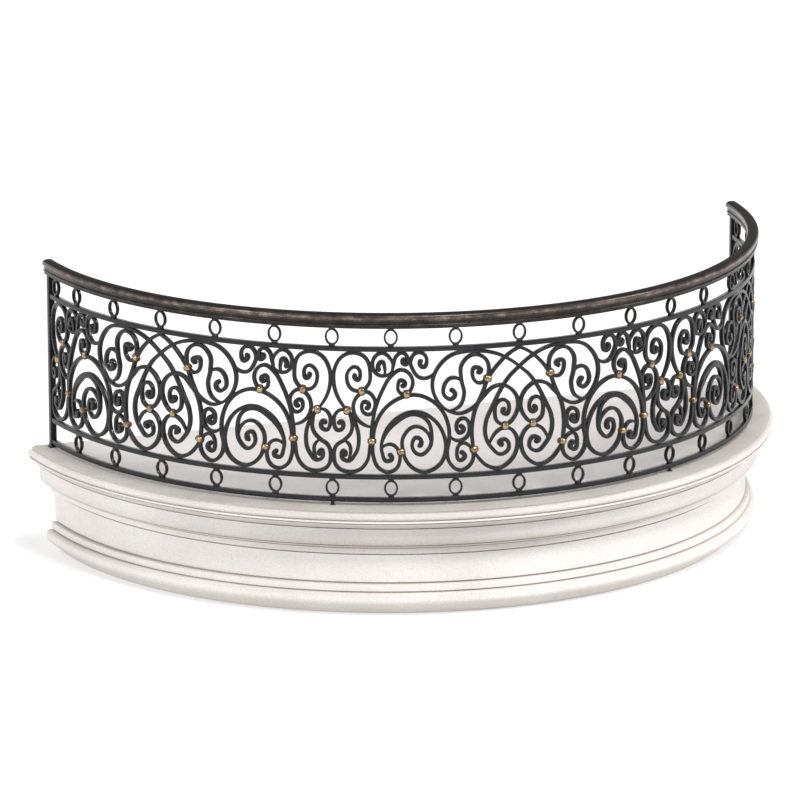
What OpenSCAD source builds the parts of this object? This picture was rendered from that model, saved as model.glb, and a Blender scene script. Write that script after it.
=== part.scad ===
// Curved balcony railing of forged iron scrolls on a moulded stone plinth.
// Millimetres, +Z up, front towards -Y. The origin is the middle of the underside.
// The ornament is drawn flat as a half bay: s runs along the arc from the axis of a lyre
// to the axis of the crossed arches, z runs up from the floor of the balcony.

/* [Plan] */
// radius of the railing's centre-line
rail_r = 1924; // [1700:1:2300]
// straight back of the plinth, measured in front of the centre of the arc
back_y = 79; // [60:1:120]
// how far the axis of the last half lyre lies in front of the plinth's back
end_set = 68; // [60:1:120]

/* [Heights] */
// top of the handrail above the floor
handrail_top = 1000; // [960:1:1100]
// clear height of the upper row of rings
upper_row_h = 97; // [80:1:120]
// clear height of the lower row of rings
lower_row_h = 94; // [80:1:120]
// underside of the bottom rail above the floor
bottom_rail_z = 18; // [14:1:28]

/* [Rails] */
// height of the three flat rails
rail_h = 25; // [20:1:30]
// depth of the three flat rails
rail_d = 25; // [21:1:32]
// height of the handrail's moulded section
handrail_h = 76; // [60:1:90]
// width of the handrail
handrail_w = 64; // [50:1:90]
// how far the handrail runs past the back of a post
handrail_over = 18; // [5:1:30]

/* [Scroll bars] */
// width of a scroll bar seen from the front
bar_w = 17.5; // [14:0.5:19]
// depth of a scroll bar
bar_d = 21; // [14:0.5:24]
// turn of a scroll bar between two facets, in degrees
bar_turn_angle = 26; // [15:1:30]
// how much wider a bar gets towards the eye of its scroll
eye_swell = 8; // [0:0.1:9]
// radius of the forged knob at the eye
eye_r = 13; // [9:0.5:14]
// half the width of a hairline that a weld closes
weld = 0.2; // [0.1:0.05:0.3]
// gap that is left between neighbouring pieces
clear = 0.3; // [0.2:0.05:0.6]

/* [Rings] */
// width of a ring
ring_w = 72; // [50:1:90]
// thickness of a ring's bar
ring_t = 10; // [6:0.5:12]
// depth of a ring's bar
ring_d = 19; // [10:0.5:22]
// width of the seat between a ring and a rail
seat_w = 30; // [20:1:44]
// height of that seat
seat_h = 5; // [3:0.5:8]
// angle from a lyre's axis to the first ring of a half bay
ring_1_angle = 8.85; // [7:0.05:10]
// angle from a lyre's axis to the second ring of a half bay
ring_2_angle = 18.6; // [16:0.05:20]
// angle from the end axis to the extra upper ring beside a post
end_ring_angle = 1.95; // [1.5:0.05:2.5]

/* [Collars] */
// length of a barrel collar across the bars
collar_across = 45; // [40:1:54]
// thickness of a collar at its belly
collar_d = 36; // [32:0.5:40]
// thickness of a collar beside its two ends
collar_end_d = 29; // [26:0.5:31]
// width of the bevel round each end
collar_bevel = 4; // [2:0.5:6]

/* [Posts and feet] */
// side of the square end posts
post_w = 32; // [24:1:50]
// how far the flared foot of a post stands out on each side
foot_out = 11; // [6:1:18]
// height of that foot
foot_h = 30; // [16:1:60]
// radius of a peg under the bottom rail
peg_r = 9; // [6:0.5:14]
// radius of the round plate of a peg
peg_plate_r = 16; // [13:1:24]
// thickness of that plate
peg_plate_h = 4; // [3:0.5:8]

/* [Plinth] */
// height of the whole plinth
plinth_h = 585; // [540:1:700]
// how far the nose of the cornice stands out beyond the railing's centre-line
nose_out = 120; // [90:1:150]
// depth of the weathered slope on top of the nose, bead included
walk_in = 45; // [36:1:60]
// fall of the weathered slope
walk_drop = 8; // [4:1:12]
// how far the nose's bead stands out
bead_out = 14; // [10:1:18]
// height of the nose's bead
bead_tall = 32; // [24:1:38]
// height of the nose below its bead
nose_low_h = 26; // [20:1:32]
// how far the nose draws in below its bead
nose_back = 13; // [9:1:20]
// height of the slope under the nose
slope_h = 36; // [28:1:42]
// how far the flat band lies behind the nose's tip
band_in = 61; // [50:1:70]
// height of the flat band
band_h = 42; // [34:1:48]
// height of the swelling under the flat band
swell_h = 36; // [28:1:42]
// how far the swelling draws in at its foot
swell_in = 15; // [8:1:18]
// height of the quirks, the narrow grooves between the mouldings
quirk_h = 4; // [3:0.5:6]
// depth of the quirks
quirk_in = 8; // [5:1:10]
// how far the plain drum lies inside the railing's centre-line
drum_in = 24; // [16:1:50]
// how far the fillets stand out beyond the drum
fillet_out = 21; // [14:1:28]
// height of the fillet under the swelling
fillet_h = 34; // [28:1:42]
// height of the cornice course
cornice_h = 263; // [240:1:310]
// height of the base course
base_h = 164; // [140:1:190]
// height of the band at the top of the base
base_band_h = 35; // [30:1:46]
// how far the base's round moulding stands out beyond the drum
base_out = 47; // [36:1:60]
// depth of the upper edge of that round moulding
base_round_in = 15; // [8:1:20]
// height of the upper edge of that round moulding
base_round_h = 21; // [14:1:28]
// height of the flat face of that round moulding
base_face_h = 24; // [10:1:30]
// radius of the round above the base's slope
base_ease = 26; // [16:1:40]
// how far the base draws in at the ground
base_tuck = 78; // [60:1:100]

/* [Hidden] */
$fn = 48;
arc_fn = 256;
end_angle = acos((back_y + end_set) / rail_r);
bay_angle = end_angle / 1.5;
half_bay = rail_r * bay_angle * PI / 360;
nose_r = rail_r + nose_out;
drum_r = rail_r - drum_in;
centre_y = (nose_r + back_y) / 2;
lower_rail_z = bottom_rail_z + rail_h + lower_row_h;
handrail_z = handrail_top - handrail_h;
upper_rail_z = handrail_z - upper_row_h - rail_h;
panel_low = lower_rail_z + rail_h;
panel_high = upper_rail_z;

// Curve through points: each span leaves and enters along the circle through its neighbours.
function unit(v) = v / norm(v);
function clamp1(x) = max(-1, min(1, x));
function chord(p, i) = p[i + 1] - p[i];
function inner_tangent(p, i) =
    let (a = chord(p, i - 1), b = chord(p, i))
    unit(unit(a) * norm(b) + unit(b) * norm(a));
function mirror_in(t, u) = 2 * (t * u) * u - t;
function tangent(p, i) =
    i == 0 ? mirror_in(inner_tangent(p, 1), unit(chord(p, 0)))
    : i == len(p) - 1 ? mirror_in(inner_tangent(p, i - 1), unit(chord(p, i - 1)))
    : inner_tangent(p, i);
function span_point(p, q, tp, tq, l, x) =
    p * (2 * pow(x, 3) - 3 * pow(x, 2) + 1) + tp * l * (pow(x, 3) - 2 * pow(x, 2) + x)
    + q * (3 * pow(x, 2) - 2 * pow(x, 3)) + tq * l * (pow(x, 3) - pow(x, 2));
function smooth(p) = [
    for (i = [0:len(p) - 2])
        let (c = chord(p, i), u = unit(c), tp = tangent(p, i), tq = tangent(p, i + 1),
             bend = min(150, acos(clamp1(tp * tq))),
             n = max(1, ceil((acos(clamp1(tp * u)) + acos(clamp1(tq * u))) / bar_turn_angle)),
             l = norm(c) / pow(cos(bend / 4), 2))
        for (k = [0:n - 1]) span_point(p[i], p[i + 1], tp, tq, l, k / n),
    p[len(p) - 1]];

// Outline of a bar: the curve pushed out to both sides, wider towards an eye.
function left_of(u) = [-u[1], u[0]];
function side_dir(p, j) =
    let (u = j == 0 ? unit(chord(p, 0)) : unit(chord(p, j - 1)),
         v = j == len(p) - 1 ? u : unit(chord(p, j)),
         m = unit(u + v))
    left_of(m) / max(0.6, m * u);
function width_at(p, j, eye) = bar_w + (eye ? eye_swell * max(0, 1 - (len(p) - 1 - j) / 6) : 0);

// The drawing fills a sheet, given by two corners, and is stretched to the half bay and the panel.
sheet = [[0, 162], [958.5, 806]];
function along(s) = half_bay * s / sheet[1][0];
function up(z) = panel_low + (panel_high - panel_low) * (z - sheet[0][1]) / (sheet[1][1] - sheet[0][1]);
function placed(q) = [along(q[0]), up(q[1])];

// Placed points go to the chord of the arc about the middle of the piece.
function flat(q, mid) = [rail_r * sin((q[0] - along(mid)) / rail_r * 180 / PI), q[1]];

module bar(pts, mid, eye = true) {
    p = smooth([for (q = pts) placed(q)]);
    n = len(p);
    for (a = [0:5:n - 2]) {
        b = min(a + 5, n - 1);
        polygon(concat(
            [for (j = [a:b]) flat(p[j] + side_dir(p, j) * width_at(p, j, eye) / 2, mid)],
            [for (j = [b:-1:a]) flat(p[j] - side_dir(p, j) * width_at(p, j, eye) / 2, mid)]));
    }
    if (eye)
        translate(flat(p[n - 1], mid))
            circle(r = eye_r, $fn = 12);
}

// Lyre: the volutes on both sides of an axis where two bays meet.
lyre_volute = [[82, 490], [58, 518], [28, 568], [9, 640], [16, 720], [52, 778], [112, 799], [168, 775],
    [193, 700], [184, 634], [150, 602], [104, 606], [76, 655], [84, 703], [118, 725], [143, 692],
    [126, 659], [115, 680]];
lyre_inner = [[200, 411], [150, 430], [115, 475], [108, 525], [132, 575], [172, 596], [208, 570],
    [217, 520], [186, 477], [150, 510], [167, 543], [186, 519], [176, 510]];
lyre_side = [[72, 500], [99, 445], [96, 382], [62, 342], [22, 312], [8, 255], [24, 200], [75, 175],
    [140, 188], [178, 235], [189, 300], [191, 340]];
lyre_split = [[84, 496], [118, 430], [135, 350], [118, 270], [75, 231], [48, 256], [60, 281], [66, 264]];
lyre_link = [[58, 340], [86, 318], [93, 275], [80, 238]];
lyre_heart = [[74, 494], [40, 497], [14, 470], [9, 430], [32, 391], [57, 416], [44, 436], [36, 430]];

// Dome: the tall stem and the great volute under a round arch.
stem = [[193, 336], [200, 400], [217, 500], [255, 605], [300, 680], [350, 711], [396, 682], [405, 625],
    [378, 588], [344, 590], [332, 625], [350, 656], [367, 634], [356, 626]];
stem_hook = [[300, 680], [310, 735], [326, 784], [352, 800], [381, 768], [368, 740], [356, 756], [362, 764]];
stem_ring = [[306, 728], [290, 776], [252, 799], [215, 776], [205, 735], [222, 693], [256, 679], [300, 700]];
stem_curl = [[262, 679], [267, 718], [250, 752], [234, 734], [236, 712]];
top_curl = [[520, 700], [486, 668], [445, 668], [408, 710], [397, 760], [436, 801], [478, 758],
    [458, 724], [443, 745], [447, 754]];
dome = [[262, 306], [297, 321], [336, 286], [342, 240], [326, 196], [288, 175], [238, 194], [208, 258],
    [206, 330], [222, 430], [270, 512], [350, 566], [420, 579], [490, 555], [550, 500], [586, 420],
    [592, 340], [581, 270], [596, 214], [650, 176], [704, 208], [716, 262], [696, 301], [658, 317],
    [631, 272], [652, 228], [671, 254], [656, 268]];
dome_inner = [[292, 264], [302, 247], [278, 233], [252, 280], [260, 365], [320, 452], [425, 490],
    [512, 448], [562, 370], [575, 290], [540, 207], [455, 175], [385, 218], [357, 285], [362, 365],
    [424, 413], [474, 388], [494, 340]];
dome_crescent = [[254, 330], [320, 432], [420, 477], [476, 448], [502, 370], [486, 292], [445, 264],
    [410, 290], [404, 322], [427, 355], [450, 328], [442, 312]];
low_curl = [[590, 370], [640, 331], [697, 388], [656, 447], [628, 404], [648, 373], [664, 396], [652, 406]];

// Arch: bars that cross over the middle of a bay, with scrolls inside and outside them.
arch_outer = [[722, 262], [712, 320], [708, 385], [722, 480], [765, 580], [790, 645], [850, 725],
    [910, 776], [958.5, 800]];
arch_foot = [[718, 280], [745, 232], [790, 190], [848, 174], [908, 204], [946, 272], [944, 332],
    [886, 384], [838, 366], [806, 320]];
arch_band = [[590, 489], [556, 514], [526, 554], [508, 605], [508, 655], [540, 727], [600, 780], [680, 798],
    [760, 795], [840, 775], [900, 744], [958.5, 700]];
arch_cross = [[958.5, 700], [905, 652], [860, 588], [815, 500], [782, 425], [778, 355], [810, 285],
    [866, 246], [904, 282], [868, 321], [853, 304], [866, 297]];
arch_inner = [[560, 508], [590, 489], [645, 474], [710, 498], [765, 553], [815, 600], [862, 610],
    [915, 584], [951, 520], [938, 448], [884, 401], [842, 418], [828, 470], [836, 512], [866, 532],
    [904, 490], [884, 456], [870, 470], [876, 481]];
arch_scroll = [[590, 490], [642, 510], [668, 575], [654, 650], [656, 730], [722, 779], [782, 748],
    [796, 690], [780, 642], [748, 628], [712, 665], [728, 711], [752, 690], [742, 684]];
arch_curl = [[662, 612], [608, 663], [565, 620], [573, 564], [604, 552], [621, 580], [604, 598]];

module lyre_lines(mid) {
    bar(lyre_volute, mid);
    bar(lyre_inner, mid);
    bar(lyre_side, mid, false);
    bar(lyre_split, mid);
    bar(lyre_link, mid, false);
    bar(lyre_heart, mid);
}

module dome_lines(mid) {
    bar(stem, mid);
    bar(stem_hook, mid);
    bar(stem_ring, mid, false);
    bar(stem_curl, mid);
    bar(top_curl, mid);
    bar(dome, mid);
    bar(dome_inner, mid, false);
    bar([for (i = [len(dome_inner) - 1:-1:0]) dome_inner[i]], mid);
    bar(dome_crescent, mid);
    bar(low_curl, mid);
}

module arch_lines(mid) {
    bar(arch_outer, mid, false);
    bar(arch_foot, mid, false);
    bar(arch_band, mid, false);
    bar(arch_cross, mid);
    bar(arch_inner, mid);
    bar(arch_scroll, mid);
    bar(arch_curl, mid);
}

// Welds close the hairlines between bars of one piece that lie side by side.
module welded() {
    offset(delta = -weld)
        offset(delta = weld)
            children();
}

module window(s0, s1, mid) {
    polygon([flat([s0, panel_low], mid), flat([s1, panel_low], mid),
        flat([s1, panel_high], mid), flat([s0, panel_high], mid)]);
}

lyre_mid = 110;
dome_mid = 420;
arch_mid = 760;

module lyre_shape() {
    intersection() {
        difference() {
            welded() lyre_lines(lyre_mid);
            offset(delta = clear, chamfer = true) dome_lines(lyre_mid);
        }
        window(clear / 2, along(330), lyre_mid);
    }
}

module dome_shape() {
    intersection() {
        welded() dome_lines(dome_mid);
        window(along(150), along(720), dome_mid);
    }
}

module arch_shape() {
    intersection() {
        difference() {
            welded() arch_lines(arch_mid);
            offset(delta = clear, chamfer = true) dome_lines(arch_mid);
        }
        window(along(480), half_bay - clear / 2, arch_mid);
    }
}

// Stands a flat shape up on the arc, bent to the railing's radius.
module bent(angle) {
    rotate([0, 0, angle])
        intersection() {
            translate([0, -rail_r * cos(bay_angle / 4) / 2, 0])
                rotate([90, 0, 0])
                    linear_extrude(height = rail_r)
                        offset(delta = 0)
                            children();
            rotate_extrude($fn = arc_fn)
                translate([rail_r - bar_d / 2, 0])
                    square([bar_d, handrail_z]);
        }
}

function arc_angle(s) = s / rail_r * 180 / PI;

module at_floor() {
    translate([0, centre_y, plinth_h])
        children();
}

// A piece of a half bay, seen from the lyre's axis that it starts at; side -1 is mirrored.
module half_piece(axis_angle, side, mid) {
    at_floor()
        rotate([0, 0, axis_angle])
            mirror([side < 0 ? 1 : 0, 0, 0])
                bent(arc_angle(along(mid)))
                    children();
}

module lyre(axis_angle, right, left) {
    color("#3a3b3e") {
        if (right)
            half_piece(axis_angle, 1, lyre_mid) lyre_shape();
        if (left)
            half_piece(axis_angle, -1, lyre_mid) lyre_shape();
    }
}

module dome_piece(axis_angle, side) {
    color("#38393c")
        half_piece(axis_angle, side, dome_mid) dome_shape();
}

module arch_piece(axis_angle, side) {
    color("#36373a")
        half_piece(axis_angle, side, arch_mid) arch_shape();
}

// Collars: place along the half bay, height and direction of the bars that each one holds.
collar_list = [[150, 598, 10], [76, 496, -20], [201, 337, 90], [376, 583, 10], [348, 281, 100],
    [789, 649, 60], [884, 394, 0], [720, 280, 105]];

module barrel() {
    reach = collar_across / 2;
    rotate_extrude($fn = 24)
        polygon(concat(
            [[0, -reach], [collar_end_d / 2 - collar_bevel, -reach]],
            [for (i = [-4:4])
                [(collar_end_d + (collar_d - collar_end_d) * cos(22 * i)) / 2,
                    (reach - collar_bevel) * i / 4]],
            [[collar_end_d / 2 - collar_bevel, reach], [0, reach]]));
}

// The room that a collar leaves for the bars of one piece, which stand at a slant to the collar.
module grip(c, mid) {
    slant = abs(arc_angle(along(c[0]) - along(mid)));
    offset(delta = clear + bar_d / 2 * tan(slant), chamfer = true)
        intersection() {
            translate([0, -up(c[1])])
                children();
            square(collar_across + collar_d, center = true);
        }
}

module collar(c) {
    rotate([0, 0, arc_angle(along(c[0]))])
        translate([0, -rail_r, up(c[1])])
            difference() {
                rotate([0, -c[2], 0])
                    barrel();
                rotate([90, 0, 0])
                    linear_extrude(height = bar_d + 2 * clear, center = true)
                        offset(delta = 0)
                            union() {
                                if (c[0] < 330)
                                    grip(c, lyre_mid) lyre_lines(c[0]);
                                if (c[0] > 150 && c[0] < 740)
                                    grip(c, dome_mid) dome_lines(c[0]);
                                if (c[0] > 480)
                                    grip(c, arch_mid) arch_lines(c[0]);
                            }
            }
}

module collars(bay) {
    color("#c9a45c")
        at_floor()
            for (side = [1, -1])
                rotate([0, 0, (bay - 2 - side / 2) * bay_angle])
                    mirror([side < 0 ? 1 : 0, 0, 0])
                        for (c = collar_list)
                            collar(c);
}

// Flat rails and handrail: one arc each, from post to post.
module arc_bar(angle) {
    rotate([0, 0, -90 - angle])
        rotate_extrude(angle = 2 * angle, $fn = arc_fn)
            children();
}

// A post stands just past the axis of the last half lyre; side -1 is the left end.
post_angle = end_angle + arc_angle(post_w / 2 + clear);

module post_box(side) {
    rotate([0, 0, side * post_angle])
        translate([-post_w / 2, -rail_r - post_w / 2, 0])
            cube([post_w, post_w, handrail_z]);
}

module flat_rail(z) {
    color("#3b3c3f")
        at_floor()
            difference() {
                arc_bar(post_angle)
                    translate([rail_r - rail_d / 2, z])
                        square([rail_d, rail_h]);
                post_box(1);
                post_box(-1);
            }
}

module bottom_rail() {
    flat_rail(bottom_rail_z);
}

module lower_rail() {
    flat_rail(lower_rail_z);
}

module upper_rail() {
    flat_rail(upper_rail_z);
}

// Section of the handrail: a crown, a hollow, a bead and a flat foot.
function arc_points(c, rx, ry, a0, a1, n) =
    [for (i = [0:n]) let (a = a0 + (a1 - a0) * i / n) c + [rx * cos(a), ry * sin(a)]];
crown_h = handrail_h * 0.52;
bead_h = 7;
bead_z = handrail_h * 0.2;
function handrail_side() = concat(
    [[handrail_w * 0.33, 0], [handrail_w * 0.33, bead_z - bead_h / 2]],
    arc_points([handrail_w * 0.37, bead_z], bead_h / 2, bead_h / 2, -90, 90, 6),
    arc_points([handrail_w * 0.5 - 4, bead_z + bead_h / 2], handrail_w * 0.17 - 4,
        handrail_h - crown_h - bead_z - bead_h / 2, 180, 90, 5),
    arc_points([handrail_w * 0.5 - 6, handrail_h - crown_h + 7], 6, 7, -90, 0, 4),
    arc_points([handrail_w * 0.1, handrail_h - crown_h * 0.62], handrail_w * 0.4, crown_h * 0.62, 0, 90, 8));

module handrail() {
    side = handrail_side();
    color("#4a3d35")
        at_floor()
            arc_bar(post_angle + arc_angle(post_w / 2 + handrail_over))
                translate([rail_r, handrail_z])
                    polygon(concat(side, [for (i = [len(side) - 1:-1:0]) [-side[i][0], side[i][1]]]));
}

// The foot of a post flares out in a hollow curve, in four steps.
function flare(i) = post_w + 2 * foot_out * (1 - sin(90 * i / 4));

module post_face() {
    edge = concat([for (i = [0:4]) [flare(i) / 2, foot_h * (1 - cos(90 * i / 4))]],
        [[post_w / 2, handrail_z]]);
    linear_extrude(height = 2 * post_w + 2 * foot_out, center = true)
        polygon(concat(edge, [for (i = [len(edge) - 1:-1:0]) [-edge[i][0], edge[i][1]]]));
}

module post(side) {
    color("#39393c")
        at_floor()
            rotate([0, 0, side * post_angle])
                translate([0, -rail_r, 0])
                    intersection() {
                        rotate([90, 0, 0]) post_face();
                        rotate([90, 0, 90]) post_face();
                    }
}

module pegs() {
    color("#39393c")
        at_floor()
            for (side = [-1, 1])
                rotate([0, 0, side * bay_angle / 2])
                    translate([0, -rail_r, 0]) {
                        cylinder(r = peg_r, h = bottom_rail_z);
                        cylinder(r = peg_plate_r, h = peg_plate_h);
                    }
}

// Rings stand between two rails on small seats.
module ring_shape(z0, z1) {
    h = z1 - z0;
    translate([0, z0 + h / 2])
        difference() {
            union() {
                scale([ring_w / 2, h / 2 - seat_h + 1])
                    circle(r = 1);
                square([seat_w, h], center = true);
            }
            scale([ring_w / 2 - ring_t, h / 2 - seat_h + 1 - ring_t])
                circle(r = 1);
        }
}

// The ring on a lyre's axis belongs to the bay on its right. A post takes the first one's place.
module rings(angles, z0, z1) {
    color("#3b3c3f")
        at_floor()
            for (a = angles)
                rotate([0, 0, a])
                    translate([0, -rail_r, 0])
                        rotate([90, 0, 0])
                            linear_extrude(height = ring_d, center = true)
                                ring_shape(z0, z1);
}

function bay_rings(bay) =
    let (a = (bay - 2.5) * bay_angle, b = (bay - 1.5) * bay_angle)
    concat(bay > 1 ? [a] : [],
        [a + ring_1_angle, a + ring_2_angle, (a + b) / 2, b - ring_2_angle, b - ring_1_angle]);

module lower_rings(bay) {
    rings(bay_rings(bay), bottom_rail_z + rail_h, lower_rail_z);
}

module upper_rings(bay) {
    extra = bay == 1 ? [end_ring_angle - end_angle] : bay == 3 ? [end_angle - end_ring_angle] : [];
    rings(concat(extra, bay_rings(bay)), upper_rail_z + rail_h, handrail_z);
}

// Side of the plinth from the walkway down: nose, slope, flat band, swelling, fillet, drum and base.
function cyma(p0, p1, p2, p3, n) = [for (i = [0:n]) let (x = i / n, y = 1 - x)
    y * y * y * p0 + 3 * y * y * x * p1 + 3 * y * x * x * p2 + x * x * x * p3];
band_r = nose_r - band_in;
fillet_r = drum_r + fillet_out;
low_top = walk_drop + bead_tall + 3;
nose_h = low_top + nose_low_h - 3;
slope_top = nose_h + quirk_h;
slope_foot = slope_top + slope_h;
band_top = slope_foot + quirk_h;
band_foot = band_top + band_h;
swell_foot = band_foot + swell_h;
step_top = swell_foot + quirk_h;
fillet_top = cornice_h - fillet_h;
cornice_profile = concat(
    [[nose_r - walk_in, 0], [nose_r - bead_out - 4, -walk_drop]],
    arc_points([nose_r - bead_out, -walk_drop - bead_tall / 2], bead_out, bead_tall / 2, 90, -72, 7),
    arc_points([nose_r - nose_back, -low_top], nose_back - 4, nose_low_h - 3, 0, -90, 4),
    [[nose_r - nose_back - quirk_in, -nose_h], [nose_r - nose_back - quirk_in, -slope_top],
        [nose_r - nose_back - 4, -slope_top], [band_r + 3, -slope_foot]],
    [[band_r - quirk_in, -slope_foot], [band_r - quirk_in, -band_top], [band_r, -band_top]],
    cyma([band_r, -band_foot], [band_r - 1, -band_foot - swell_h / 2], [band_r - swell_in / 2, 4 - swell_foot],
        [band_r - swell_in, -swell_foot], 5),
    [[band_r - swell_in - quirk_in, -swell_foot], [band_r - swell_in - quirk_in, -step_top]],
    cyma([band_r - swell_in - 7, -step_top], [band_r - swell_in - 9, -step_top - 10],
        [fillet_r + 30, 17 - fillet_top], [fillet_r + 22, 11 - fillet_top], 4),
    [[fillet_r + 6, 10 - fillet_top], [fillet_r + 6, 4 - fillet_top], [fillet_r, -fillet_top],
        [fillet_r, 9 - cornice_h], [drum_r + 6, 4 - cornice_h], [drum_r + 3, -cornice_h]]);
base_top = plinth_h - base_h;
drum_top = cornice_h + quirk_h;
drum_foot = base_top - 2 * quirk_h;
drum_profile = [
    [drum_r - quirk_in, -cornice_h], [drum_r - quirk_in, -drum_top], [drum_r, -drum_top],
    [drum_r, -drum_foot], [drum_r - quirk_in, -drum_foot], [drum_r - quirk_in, -base_top]];
base_r = drum_r + base_out;
band_end = base_top + base_band_h;
round_top = band_end + quirk_h;
round_z = round_top + base_round_h;
tuck_z = round_z + base_face_h;
base_profile = concat(
    [[fillet_r, -base_top], [fillet_r, -band_end], [fillet_r - quirk_in, -band_end],
        [fillet_r - quirk_in, -round_top]],
    arc_points([base_r - base_round_in, -round_z], base_round_in, base_round_h, 90, 0, 5),
    arc_points([base_r - base_ease, -tuck_z], base_ease, base_ease, 0, -48, 4),
    [[base_r - base_tuck, -plinth_h]]);

// Plinth: three courses of moulded stone, turned about the centre of the arc and cut flat at the back.
module turned(profile, z0, z1) {
    at_floor()
        difference() {
            rotate_extrude($fn = arc_fn)
                polygon(concat([[0, z1]], profile, [[0, z0]]));
            translate([-nose_r - 10, -back_y, -plinth_h - 10])
                cube([2 * nose_r + 20, nose_r + back_y + 20, plinth_h + 20]);
        }
}

module cornice_course() {
    color("#e6e1da")
        turned(cornice_profile, -cornice_h, 0);
}

module drum_course() {
    color("#e9e3dd")
        turned(drum_profile, -base_top, -cornice_h);
}

module base_course() {
    color("#e4dfd8")
        turned(base_profile, -plinth_h, -base_top);
}

base_course();
drum_course();
cornice_course();
bottom_rail();
lower_rail();
upper_rail();
handrail();
post(-1);  // post_left
post(1);  // post_right
pegs();
lower_rings(1);  // lower_rings_1
lower_rings(2);  // lower_rings_2
lower_rings(3);  // lower_rings_3
upper_rings(1);  // upper_rings_1
upper_rings(2);  // upper_rings_2
upper_rings(3);  // upper_rings_3
lyre(-end_angle, true, false);  // lyre_end_left
lyre(-bay_angle / 2, true, true);  // lyre_left
lyre(bay_angle / 2, true, true);  // lyre_right
lyre(end_angle, false, true);  // lyre_end_right
dome_piece(-end_angle, 1);  // dome_1_left
dome_piece(-bay_angle / 2, -1);  // dome_1_right
dome_piece(-bay_angle / 2, 1);  // dome_2_left
dome_piece(bay_angle / 2, -1);  // dome_2_right
dome_piece(bay_angle / 2, 1);  // dome_3_left
dome_piece(end_angle, -1);  // dome_3_right
arch_piece(-end_angle, 1);  // arch_1_left
arch_piece(-bay_angle / 2, -1);  // arch_1_right
arch_piece(-bay_angle / 2, 1);  // arch_2_left
arch_piece(bay_angle / 2, -1);  // arch_2_right
arch_piece(bay_angle / 2, 1);  // arch_3_left
arch_piece(end_angle, -1);  // arch_3_right
collars(1);  // collars_1
collars(2);  // collars_2
collars(3);  // collars_3
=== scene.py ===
import math

import bpy
import numpy as np
from mathutils import Matrix, Vector


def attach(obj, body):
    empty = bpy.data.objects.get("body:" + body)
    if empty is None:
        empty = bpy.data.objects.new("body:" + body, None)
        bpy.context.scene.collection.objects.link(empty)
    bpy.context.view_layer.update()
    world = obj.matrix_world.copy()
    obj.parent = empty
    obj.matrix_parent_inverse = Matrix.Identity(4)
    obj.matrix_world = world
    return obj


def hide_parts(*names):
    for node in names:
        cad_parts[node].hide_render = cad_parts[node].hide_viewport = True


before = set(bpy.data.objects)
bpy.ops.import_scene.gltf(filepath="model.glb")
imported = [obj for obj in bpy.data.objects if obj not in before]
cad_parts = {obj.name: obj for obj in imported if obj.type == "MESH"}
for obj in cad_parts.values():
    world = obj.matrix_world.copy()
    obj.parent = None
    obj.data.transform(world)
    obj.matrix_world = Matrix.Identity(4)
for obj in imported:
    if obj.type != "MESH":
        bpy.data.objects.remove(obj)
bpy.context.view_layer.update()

# Plinth: three courses of pale, slightly pink limestone, turned to one centre and cut flat at the wall.
# The mason ran each moulding with a template, and the courses lie in thin beds of lime mortar.
# Heights count from the balcony floor: a honed slab inside the railing and a trodden walkway round it.
RAIL_R = 1.924
CENTRE = Vector((0.0, 1.0615, 0.585))
BACK = 0.079
SLAB_R = RAIL_R - 0.06
NOSE_R, BAND_R, FILLET_R, DRUM_R, BASE_R = 2.044, 1.983, 1.921, 1.900, 1.947
SLOPE_START, BASE_EASE, BASE_TUCK = 0.498, 0.040, 0.078
COURSE_END, COURSE_STEPS = math.radians(95), 190
TREAD_DROP, PAINTED_SHADE_DROP = 0.0055, 0.27


def on_arc(radius, angle, height=0.0):
    return Vector((radius * math.sin(angle), CENTRE.y - radius * math.cos(angle), CENTRE.z + height))


def sweep(centre, rx, rz, first, last, steps):
    turns = [math.radians(first + (last - first) * i / steps) for i in range(steps + 1)]
    return [(centre[0] + rx * math.cos(a), centre[1] + rz * math.sin(a)) for a in turns]


def curve_to(p0, p1, p2, p3, steps):
    rows = [i / steps for i in range(steps + 1)]
    return [tuple((1 - t) ** 3 * a + 3 * (1 - t) ** 2 * t * b + 3 * (1 - t) * t * t * c + t ** 3 * d
                  for a, b, c, d in zip(p0, p1, p2, p3)) for t in rows]


def choose(piece):
    bpy.ops.object.select_all(action="DESELECT")
    piece.select_set(True)
    bpy.context.view_layer.objects.active = piece


def spin_profile(name, outline, first, last, steps, closed):
    mesh = bpy.data.meshes.new(name)
    corners = [on_arc(r, first, z) for r, z in outline]
    edges = [(i, i + 1) for i in range(len(corners) - 1)]
    if closed:
        edges.append((len(corners) - 1, 0))
    mesh.from_pydata(corners, edges, [])
    piece = bpy.data.objects.new(name, mesh)
    bpy.context.collection.objects.link(piece)
    choose(piece)
    bpy.ops.object.mode_set(mode="EDIT")
    bpy.ops.mesh.select_all(action="SELECT")
    bpy.ops.mesh.spin(steps=steps, angle=first - last, center=CENTRE, axis=(0, 0, 1))
    bpy.ops.mesh.select_all(action="SELECT")
    bpy.ops.mesh.remove_doubles(threshold=0.00005)
    if closed:
        bpy.ops.mesh.select_all(action="SELECT")
        bpy.ops.mesh.fill_holes(sides=0)
    return piece


def outwards_and_smooth(piece, degrees):
    choose(piece)
    bpy.ops.object.mode_set(mode="EDIT")
    bpy.ops.mesh.select_all(action="SELECT")
    bpy.ops.mesh.normals_make_consistent(inside=False)
    bpy.ops.object.mode_set(mode="OBJECT")
    bpy.ops.object.shade_smooth_by_angle(angle=math.radians(degrees))


def new_finish(name, colour, metallic, roughness):
    finish = bpy.data.materials.new(name)
    finish.use_nodes = True
    shader = finish.node_tree.nodes["Principled BSDF"]
    shader.inputs["Base Color"].default_value = (*colour, 1)
    shader.inputs["Metallic"].default_value = metallic
    shader.inputs["Roughness"].default_value = roughness
    return finish, finish.node_tree, shader


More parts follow.
